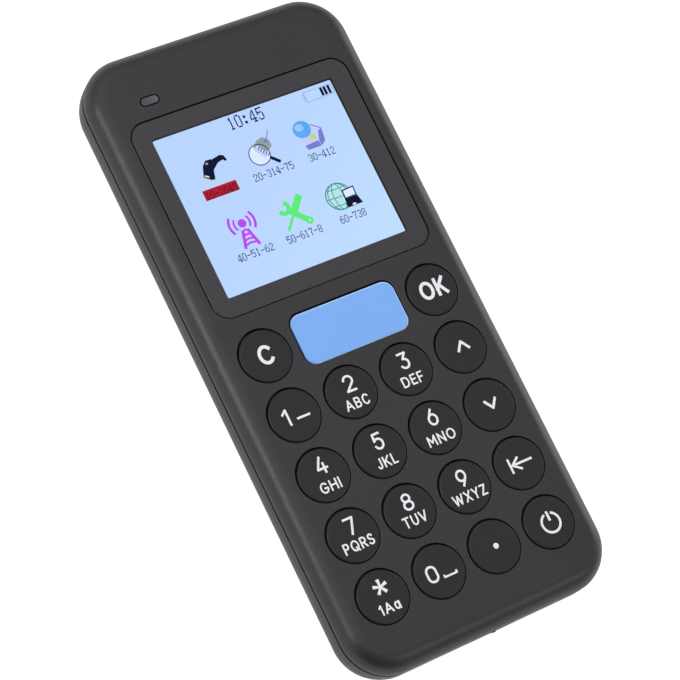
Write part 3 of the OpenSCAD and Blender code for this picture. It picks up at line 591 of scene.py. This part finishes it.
# The lip of the seal, which fills the parting groove almost to the covers' faces; its very dark,
# dull rubber is painted shade for the groove
groove_shade_lip = [rounded(BODY_W, BODY_L, CORNER_R, inset, z) for inset, z in
       ((LIP_OUT, SEAM_LOW), (LIP_OUT, SEAM_HIGH), (LIP_IN, SEAM_HIGH), (LIP_IN, SEAM_LOW))]
lofted("housing_seal_lip", [groove_shade_lip], made["seal_lip"], 0, 0, "housing", ring=True)

keys = {}
for node in sorted(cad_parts):
    if node == "key_scan":
        keys[node] = make_key(node, SCAN_W, KEY_D, SCAN_R, "blue_key")
    elif node.startswith("key_"):
        keys[node] = make_key(node, KEY_D, KEY_D, KEY_D / 2, "key")


# ---- key legends: letters as strokes in a box from 0 to 1, drawn as flat plates on the keys ----

def arc(cx, cy, rx, ry, start, end):
    """A curve of a letter, in steps of 10 degrees."""
    return ellipse(cx, cy, rx, ry, start, end, 36)


BOWL_6 = arc(0.5, 0.34, 0.5, 0.34, 0, 360)
ROUND = arc(0.5, 0.5, 0.5, 0.5, 0, 360)
STROKE_P = [(0, 0), (0, 1), *arc(0.55, 0.73, 0.45, 0.27, 90, -90), (0, 0.46)]
STROKE_R = [(0, 0), (0, 1), *arc(0.55, 0.73, 0.42, 0.27, 90, -90), (0, 0.46)]
# Each letter's width next to the others, and its strokes
GLYPHS = {
    "0": (0.72, [[*arc(0.5, 0.68, 0.5, 0.32, 180, 0), *arc(0.5, 0.32, 0.5, 0.32, 0, -180),
                  (0, 0.68)]]),
    "1": (0.4, [[(0, 0.76), (0.95, 1), (0.95, 0)]]),
    "2": (0.66, [[*arc(0.5, 0.7, 0.5, 0.3, 165, -32), (0, 0), (1, 0)]]),
    "3": (0.66, [[(0.02, 1), (0.94, 1), (0.42, 0.62), *arc(0.46, 0.31, 0.52, 0.31, 88, -152)]]),
    "4": (0.72, [[(0.58, 1), (0, 0.27), (1, 0.27)], [(0.72, 0.58), (0.72, 0)]]),
    "5": (0.66, [[(0.9, 1), (0.14, 1), (0.06, 0.54), *arc(0.48, 0.33, 0.52, 0.33, 132, -155)]]),
    "6": (0.7, [BOWL_6, [(0.62, 1), (0.1, 0.53)]]),
    "7": (0.68, [[(0, 1), (1, 1), (0.36, 0)]]),
    "8": (0.7, [arc(0.5, 0.76, 0.42, 0.24, 0, 360), arc(0.5, 0.27, 0.5, 0.27, 0, 360)]),
    "9": (0.7, [[(1 - x, 1 - y) for x, y in BOWL_6], [(0.38, 0), (0.9, 0.47)]]),
    "A": (0.92, [[(0, 0), (0.5, 1), (1, 0)], [(0.17, 0.32), (0.83, 0.32)]]),
    "B": (0.74, [[(0, 0), (0, 1), *arc(0.55, 0.76, 0.38, 0.24, 90, -90), (0, 0.52)],
                 [*arc(0.58, 0.26, 0.42, 0.26, 90, -90), (0, 0)]]),
    "C": (0.82, [arc(0.52, 0.5, 0.52, 0.5, 42, 318)]),
    "D": (0.84, [[(0, 0), (0, 1), (0.4, 1), *arc(0.45, 0.5, 0.55, 0.5, 85, -85), (0.4, 0),
                  (0, 0)]]),
    "E": (0.64, [[(1, 1), (0, 1), (0, 0), (1, 0)], [(0, 0.52), (0.88, 0.52)]]),
    "F": (0.62, [[(1, 1), (0, 1), (0, 0)], [(0, 0.5), (0.88, 0.5)]]),
    "G": (0.88, [[*arc(0.52, 0.5, 0.52, 0.5, 45, 345), (1, 0.46), (0.6, 0.46)]]),
    "H": (0.82, [[(0, 0), (0, 1)], [(1, 0), (1, 1)], [(0, 0.52), (1, 0.52)]]),
    "I": (0.16, [[(0.5, 0), (0.5, 1)]]),
    "J": (0.56, [[(1, 1), (1, 0.3), *arc(0.5, 0.3, 0.5, 0.3, -8, -160)]]),
    "K": (0.76, [[(0, 0), (0, 1)], [(0.98, 1), (0, 0.36)], [(0.34, 0.58), (1, 0)]]),
    "L": (0.6, [[(0, 1), (0, 0), (1, 0)]]),
    "M": (1.0, [[(0, 0), (0.06, 1), (0.5, 0.3), (0.94, 1), (1, 0)]]),
    "N": (0.84, [[(0, 0), (0, 1), (1, 0), (1, 1)]]),
    "O": (0.98, [ROUND]),
    "P": (0.72, [STROKE_P]),
    "Q": (0.98, [ROUND, [(0.62, 0.28), (0.96, -0.06)]]),
    "R": (0.76, [STROKE_R, [(0.5, 0.46), (1, 0)]]),
    "S": (0.72, [[*arc(0.48, 0.755, 0.44, 0.245, 25, 255),
                  *arc(0.5, 0.255, 0.5, 0.255, 80, -155)]]),
    "T": (0.82, [[(0, 1), (1, 1)], [(0.5, 1), (0.5, 0)]]),
    "U": (0.8, [[(0, 1), (0, 0.4), *arc(0.5, 0.4, 0.5, 0.4, -172, -8), (1, 0.4), (1, 1)]]),
    "V": (0.9, [[(0, 1), (0.5, 0), (1, 1)]]),
    "W": (1.35, [[(0, 1), (0.26, 0), (0.5, 0.94), (0.74, 0), (1, 1)]]),
    "X": (0.86, [[(0, 1), (1, 0)], [(0, 0), (1, 1)]]),
    "Y": (0.86, [[(0, 1), (0.5, 0.46), (1, 1)], [(0.5, 0.46), (0.5, 0)]]),
    "Z": (0.8, [[(0, 1), (1, 1), (0, 0), (1, 0)]]),
    "a": (0.66, [arc(0.46, 0.36, 0.46, 0.36, 0, 360), [(1, 0.72), (1, 0)]]),
}
# Widths of the strokes, and the heights of a digit and of the letters below it
DIGIT, LETTER, BOLD = 0.43, 0.32, 0.65
DIGIT_H, LETTER_H = 3.28, 2.08
PRINT = 0.015


def words(text, x0, x1, y0, y1, stroke, gap=0.2):
    """Strokes of a row of letters that fills the box from x0 to x1 and y0 to y1."""
    units = sum(GLYPHS[c][0] for c in text) + gap * (len(text) - 1)
    unit = (x1 - x0) / units
    h, faces, x = y1 - y0 - stroke, [], x0
    for c in text:
        w = GLYPHS[c][0] * unit
        for path in GLYPHS[c][1]:
            faces += ribbon([(x + stroke / 2 + u * (w - stroke), y0 + stroke / 2 + v * h)
                             for u, v in path], stroke)
        x += w + gap * unit
    return faces


def legend(digit, dx0, dx1, dy0, letters, lx0, lx1, ly0):
    """A digit and the letters below it, each from its left to its right edge."""
    return (words(digit, dx0, dx1, dy0, dy0 + DIGIT_H, DIGIT)
            + words(letters, lx0, lx1, ly0, ly0 + LETTER_H, LETTER))


def star(x, y):
    """Five blunt arms that widen outwards."""
    reach, root, root_half, tip_half = 1.45, 0.1, 0.16, 0.34
    faces = []
    for k in range(5):
        a = math.radians(90 + 72 * k)
        out, side = Vector((math.cos(a), math.sin(a))), Vector((-math.sin(a), math.cos(a)))
        near, far = Vector((x, y)) - out * root, Vector((x, y)) + out * reach
        faces.append([near - side * root_half, far - side * tip_half,
                      far + side * tip_half, near + side * root_half])
    return faces


# Millimetres from the middle of each key
LEGENDS = {
    "key_clear": words("C", -1.33, 1.71, -1.83, 1.92, BOLD),
    "key_ok": words("OK", -2.46, 3.17, -1.75, 1.88, BOLD, 0.12),
    "key_1": (words("1", -2.29, -1.0, -1.67, 1.62, DIGIT)
              + ribbon([(0.45, -0.85), (2.76, -0.85)], 0.42)),
    "key_2": legend("2", -0.67, 1.5, -0.1, "ABC", -2.21, 2.79, -3.3),
    "key_3": legend("3", -0.67, 1.38, -0.06, "DEF", -2.0, 2.5, -3.3),
    "key_4": legend("4", -0.71, 1.58, 0.12, "GHI", -1.71, 2.46, -3.34),
    "key_5": legend("5", -0.5, 1.54, 0.15, "JKL", -1.67, 2.5, -3.22),
    "key_6": legend("6", -0.67, 1.42, 0.34, "MNO", -2.67, 3.21, -3.13),
    "key_7": legend("7", -0.67, 1.5, 0.05, "PQRS", -2.79, 3.46, -2.9),
    "key_8": legend("8", -0.67, 1.5, -0.06, "TUV", -2.17, 2.79, -2.92),
    "key_9": legend("9", -0.8, 1.33, -0.03, "WXYZ", -3.38, 3.75, -2.92),
    "key_0": (words("0", -2.63, -0.33, -1.7, 1.54, DIGIT)
              + ribbon([(0.58, -0.98), (0.58, -1.45), (3.12, -1.45), (3.12, -0.98)], 0.36, False)),
    "key_star": star(0.42, 1.68) + words("1Aa", -1.75, 2.54, -3.2, -1.22, LETTER),
    "key_point": disc(0.38, -0.08, 0.54),
    "key_up": ribbon([(-0.66, -0.65), (0.46, 0.92), (1.58, -0.65)], 0.5),
    "key_down": ribbon([(-0.66, 0.75), (0.46, -0.82), (1.58, 0.75)], 0.5),
    "key_back": (ribbon([(-1.83, 1.2), (-1.83, -1.28)], 0.44)
                 + ribbon([(-1.3, -0.04), (2.65, -0.04)], 0.44)
                 + ribbon([(0.1, 1.05), (-1.4, -0.04), (0.1, -1.13)], 0.44)),
    "key_power": (ribbon(arc(0.46, -0.33, 1.86, 1.86, 118, 422), 0.46)
                  + ribbon([(0.46, 1.66), (0.46, 0.32)], 0.5)),
}

for node, faces in LEGENDS.items():
    cx, cy, top = keys[node]
    faces = [[(p[0] + cx, p[1] + cy) for p in f] for f in faces]
    plates("legend_" + node[4:], [(INK, faces, top, top + PRINT)], node)


# ---- the picture on the display: plain pictograms and numbers ----

SCREEN_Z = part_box("lcd_panel")[1].z / MM
# Height by which each colour of a picture lies over the one before
LAYER = 0.015
# The pictures are placed as if the window's middle were at this y
DRAWN_Y = 28
GLOW = {name: lit("glow_" + name, lin(*colour)) for name, colour in {
    "ink": (20, 27, 88), "pale": (150, 168, 208), "navy": (6, 9, 44), "white": (222, 236, 255),
    "red": (176, 22, 44), "wine": (70, 4, 24), "yellow": (206, 214, 104),
    "sage": (148, 160, 158), "lilac": (196, 208, 250), "blue": (92, 168, 244),
    "sky": (150, 200, 252), "violet": (118, 126, 206), "magenta": (188, 70, 236),
    "green": (94, 236, 118), "mint": (184, 228, 238), "teal": (52, 150, 128),
}.items()}

# Digits five dots wide and nine high, one string per row of dots from the top
DOTS = {
    "0": "01110 10001 10001 10001 10001 10001 10001 10001 01110",
    "1": "00100 01100 00100 00100 00100 00100 00100 00100 01110",
    "2": "01110 10001 10001 00001 00010 00100 01000 10000 11111",
    "3": "01110 10001 00001 00001 00110 00001 00001 10001 01110",
    "4": "00010 00110 01010 01010 10010 10010 11111 00010 00111",
    "5": "11111 10000 10000 11110 10001 00001 00001 10001 01110",
    "6": "00110 01000 10000 10110 11001 10001 10001 10001 01110",
    "7": "11111 10001 00010 00010 00100 00100 00100 00100 00100",
    "8": "01110 10001 10001 10001 01110 10001 10001 10001 01110",
    ":": "00000 00000 01100 01100 00000 00000 01100 01100 00000",
    "-": "00000 00000 00000 00000 11111 00000 00000 00000 00000",
}


def dot_text(text, x, y, dot, tall, pitch):
    """Digits made of dots, dot wide and tall high. The first starts at x, and its top is y."""
    faces = []
    for i, c in enumerate(text):
        for row, line in enumerate(DOTS[c].split()):
            run = 0
            for col, bit in enumerate(line + "0"):
                if bit == "1":
                    run += 1
                elif run:
                    x1 = x + i * pitch + col * dot
                    faces += block(x1 - run * dot, x1, y - (row + 1) * tall, y - row * tall)
                    run = 0
    return faces


def caption(number, x, y):
    """A row of digits whose middle is x and whose top is y."""
    dot, tall, pitch, last_gap = 0.155, 0.168, 0.96, 0.2
    return dot_text(number, x - (len(number) * pitch - last_gap) / 2, y, dot, tall, pitch)


def picture(name, groups, dx=0.0, dy=0.0):
    """Groups of (colour, faces) from the lowest up, as thin plates on the panel."""
    dy += WINDOW_Y - DRAWN_Y
    layers = []
    for k, (colour, faces) in enumerate(groups, start=1):
        faces = [[(p[0] + dx, p[1] + dy) for p in f] for f in faces]
        layers.append((GLOW[colour], faces, SCREEN_Z, SCREEN_Z + LAYER * k))
    plates("screen_" + name, layers, "housing")


def scanner_icon():
    """A hand scanner that points down to the left."""
    head = [(-2.9, -1.05), (-2.1, 0.95), (-1.2, 1.85), (0.0, 1.8),
            (0.2, 0.7), (-0.5, -0.6), (-0.9, -2.1), (-1.6, -2.1)]
    grip = [(-0.2, 1.6), (1.9, 2.0), (2.6, 1.7), (2.9, 0.7),
            (2.5, 0.5), (2.1, 0.95), (1.0, 0.7), (-0.3, -0.3)]
    return [("yellow", ribbon([(-2.85, -1.3), (-0.95, -2.25)], 0.3)),
            ("navy", [head, grip]),
            ("pale", disc(-1.15, 1.2, 0.28, 0.2)),
            ("white", ribbon([(-2.5, -0.95), (-2.0, -1.3)], 0.26))]


def lens_icon():
    """A magnifier over a tag with bars."""
    tag = [(0.0, 2.6), (1.3, 2.9), (2.3, 2.0), (2.4, 0.7), (1.3, 0.0), (0.2, -0.2), (-1.3, 1.5)]
    label = [(-1.4, 0.9), (-0.4, 1.7), (1.2, -0.5), (0.1, -1.2)]
    lines = []
    for k in range(5):
        x, y = -0.55 + 0.34 * k, 0.75 - 0.42 * k
        lines += ribbon([(x, y), (x + 0.45, y + 0.4)], 0.16)
    lines += ribbon(ellipse(-0.7, -0.2, 2.1), 0.16)
    lines += ribbon([(1.9, 2.2), (2.5, 3.0), (2.9, 3.7)], 0.1)
    return [("white", disc(-0.7, -0.2, 2.05)), ("sage", [tag]), ("lilac", [label]),
            ("ink", lines), ("navy", ribbon([(1.25, -1.55), (2.35, -2.6)], 0.62)),
            ("violet", disc(1.55, 1.9, 0.32))]


def box_icon():
    """A ball over an open box."""
    box = [(-2.0, -2.6), (-2.3, -0.7), (-0.4, 0.3), (1.0, 1.6), (2.7, 0.4), (2.3, -2.2),
           (1.2, -2.9)]
    side = [(1.9, 0.1), (2.75, 0.45), (2.4, -2.1), (1.3, -2.9), (1.2, -1.9)]
    front = [(-1.9, -1.9), (1.1, -1.7), (1.2, -2.9), (-1.6, -2.85)]
    return [("lilac", [box]),
            ("violet", ribbon([(1.0, 1.7), (2.6, 0.5), (1.9, -2.1)], 0.2) + [side, front]),
            ("blue", disc(-1.05, 1.35, 1.85, 1.75)), ("sky", disc(-1.45, 1.8, 0.9, 0.75)),
            ("yellow", disc(0.35, -0.65, 0.56, 0.62))]


def mast_icon():
    """A mast with waves to both sides."""
    faces = disc(0, 1.25, 0.85)
    for side in (-1, 1):
        faces += ribbon([(0.5 * side, -0.1), (1.5 * side, -3.6)], 0.6, False)
    for y, w in ((-0.3, 0.5), (-1.2, 0.75), (-2.1, 1.0), (-2.95, 1.25)):
        faces += ribbon([(-w, y), (0, y + 0.25), (w, y)], 0.4)
    for r, w in ((1.6, 0.4), (2.6, 0.5)):
        for middle in (0, 180):
            wave = ellipse(0, 1.3, r, r * 1.05, middle - 32, middle + 32, 60)
            faces += ribbon(wave, w)
    return [("magenta", faces)]


def tools_icon():
    """A wrench across a screwdriver."""
    wrench = (ribbon([(-0.9, 0.9), (2.3, -2.3)], 1.2, False) + disc(2.3, -2.3, 0.75)
              + ribbon(ellipse(-1.5, 1.55, 1.05, start=200, end=430), 0.85, False))
    tip = [(-2.75, -2.9), (-2.2, -2.85), (-1.9, -2.2), (-2.3, -2.0)]
    driver = (ribbon([(0.5, 0.6), (2.1, 2.5)], 1.4)
              + ribbon([(-2.3, -2.6), (0.4, 0.5)], 0.5, False) + [tip])
    return [("green", wrench + driver), ("mint", disc(2.3, -2.3, 0.24))]


def globe_icon():
    """A globe behind an open portable computer."""
    r = 2.65
    lines = ribbon(ellipse(0, 0, r, steps=48), 0.22)
    for k in (-0.62, 0.0, 0.62):
        w = r * math.sqrt(1 - k * k)
        lines += ribbon([(-w, k * r), (0, k * r - 0.12), (w, k * r)], 0.16)
    for k in (0.38, 0.8):
        lines += ribbon(ellipse(0, 0, r * k, r), 0.16)
    lid = [(0.85, -0.85), (0.95, 0.95), (3.6, 1.1), (3.5, -0.75)]
    glass = [(1.15, -0.7), (1.2, 0.7), (3.35, 0.85), (3.25, -0.6)]
    base = [(0.85, -0.85), (3.5, -0.8), (3.95, -2.6), (0.65, -2.65)]
    return [("mint", disc(0, 0, r)), ("teal", lines), ("navy", [lid, base]),
            ("white", [glass] + disc(2.2, -2.35, 0.42, 0.2))]


def battery_sign():
    """Three bars in a faint outline with a ruled left edge."""
    outline = (ribbon([(13.3, 41.9), (13.3, 43.9), (16.0, 43.9)], 0.14)
               + ribbon([(13.3, 41.8), (19.3, 41.95)], 0.12)
               + ribbon([(16.4, 43.9), (19.3, 43.9), (19.3, 42.0)], 0.1))
    for k in range(4):
        outline += ribbon([(12.9, 42.3 + 0.4 * k), (13.3, 42.3 + 0.4 * k)], 0.14)
    bars = []
    for x in (17.0, 17.75, 18.6):
        bars += block(x - 0.27, x + 0.27, 42.1, 43.8)
    return [("pale", outline), ("navy", bars)]


picture("clock", [("ink", dot_text("10:45", -3.5, 44.2, 0.25, 0.285, 1.56))])
picture("battery", battery_sign())
for k, (icon, x, y) in enumerate((
        (scanner_icon, -9.75, 36.0), (lens_icon, 0.25, 35.6), (box_icon, 10.7, 35.9),
        (mast_icon, -9.8, 23.0), (tools_icon, 0.55, 22.6), (globe_icon, 10.4, 22.6)), start=1):
    picture(f"mark_{k}", icon(), x, y)
picture("number_1", [("red", block(-14.2, -7.1, 30.45, 32.5)),
                     ("wine", caption("10-2045", -10.65, 32.0))])
for k, (number, x, y) in enumerate((
        ("20-314-75", 0.6, 32.2), ("30-412", 11.1, 32.2), ("40-51-62", -9.9, 18.9),
        ("50-617-8", 0.6, 18.9), ("60-738", 11.2, 18.9)), start=2):
    picture(f"number_{k}", [("ink", caption(number, x, y))])


# ---- stage, light and camera, in metres ----

FLOOR_HALF, FLOOR_Z = 3.0, -0.0002
FLOOR_GREY = 0.42
# What the floor adds in the picture, and in reflections close to the body and further away; the
# smaller amount close to the body is a painted shadow in what the body reflects
IN_VIEW, GLOSS_NEAR, GLOSS_FAR = 0.9, 0.5, 0.9
NEAR, FAR = 0.02, 0.06
# The world's light at the horizon, and from this height of the direction upwards
LIGHT_LOW, LIGHT_HIGH, HIGH = 0.84, 0.225, 0.5
# A dark flag between the lights on the left and at the foot keeps that corner dark
FLAG_AIM, FLAG_EDGE, FLAG_CORE, FLAG_DARK = (-0.52, -0.76, 0.39), 0.7, 0.95, 0.1
SOFTBOXES = {
    # where it is, its width, its power
    "softbox_left": ((-0.68, 0.17, 0.5), 0.24, 2.24),
    "softbox_low": ((0.35, -0.5, 0.65), 0.3, 0.85),
    "softbox_top": ((-0.15, 0.35, 0.95), 1.3, 5.6),
    "softbox_right": ((0.85, 0.1, 0.25), 0.5, 1.9),
}
LAMP_TARGET = Vector((0, 0, 0.01))
# The camera was fitted to the key rings of the photograph
CAMERA_AT = (-0.193395, -0.083444, 0.433975)
CAMERA_RIGHT = (0.84816, -0.43583, 0.30113)
CAMERA_UP = (0.33909, 0.8834, 0.32347)
CAMERA_BACK = (-0.40699, -0.17224, 0.89705)
CAMERA_LENS, CAMERA_SENSOR = 135.545, 36
CLIP_START, CLIP_END = 0.01, 20


def floor_material():
    """White floor. It shows as pure white where it is lit and keeps the shadow. In reflections it
    glows less close to the body, a painted shadow.
    """
    t = Tree("floor")
    path = t.node("LightPath").outputs
    mirrored = t.math("MAXIMUM", path["Is Glossy Ray"], path["Is Transmission Ray"])
    # Painted shadow: in reflections the floor glows less close to the body
    far = t.remap(t.reach(0, 0, BODY_W, BODY_L, CORNER_R), GLOSS_NEAR, GLOSS_FAR, NEAR, FAR)
    direct = t.math("MULTIPLY", path["Is Camera Ray"], IN_VIEW)
    strength = t.math("ADD", t.math("MULTIPLY", mirrored, far), direct)
    return t.surface(t.both(t.dull(grey(FLOOR_GREY)), t.emission(WHITE, strength)))


floor_mesh = bpy.data.meshes.new("floor")
floor_mesh.from_pydata([(FLOOR_HALF * x, FLOOR_HALF * y, FLOOR_Z)
                        for x, y in ((-1, -1), (1, -1), (1, 1), (-1, 1))], [], [(0, 1, 2, 3)])
floor_mesh.materials.append(floor_material())
floor = bpy.data.objects.new("floor", floor_mesh)
scene.collection.objects.link(floor)

scene.world = bpy.data.worlds.new("studio")
sky = Tree("studio", scene.world)
path = sky.node("LightPath").outputs
aim = sky.vector("DOT_PRODUCT", sky.place, FLAG_AIM, "Value")
light = sky.math("MULTIPLY", sky.remap(sky.along("Z"), LIGHT_LOW, LIGHT_HIGH, 0.0, HIGH),
                 sky.remap(aim, 1.0, FLAG_DARK, FLAG_EDGE, FLAG_CORE))
soft, seen = (sky.node("Background", {"Color": WHITE, "Strength": strength}).outputs[0]
              for strength in (light, 1.0))
clear = sky.math("MAXIMUM", path["Is Camera Ray"], path["Is Transmission Ray"])
sky.surface(sky.mix(clear, soft, seen))

for name, (at, size, power) in SOFTBOXES.items():
    lamp = bpy.data.lights.new(name, "AREA")
    lamp.shape, lamp.size, lamp.energy = "SQUARE", size, power
    softbox = bpy.data.objects.new(name, lamp)
    softbox.location = at
    softbox.rotation_mode = "QUATERNION"
    softbox.rotation_quaternion = (LAMP_TARGET - Vector(at)).to_track_quat("-Z", "Y")
    scene.collection.objects.link(softbox)

cam = bpy.data.cameras.new("camera")
cam.sensor_width, cam.lens = CAMERA_SENSOR, CAMERA_LENS
cam.clip_start, cam.clip_end = CLIP_START, CLIP_END
camera = bpy.data.objects.new("camera", cam)
axes = Matrix((CAMERA_RIGHT, CAMERA_UP, CAMERA_BACK)).transposed().to_4x4()
camera.matrix_world = Matrix.Translation(CAMERA_AT) @ axes
scene.collection.objects.link(camera)
scene.camera = camera
scene.view_settings.view_transform = "Standard"
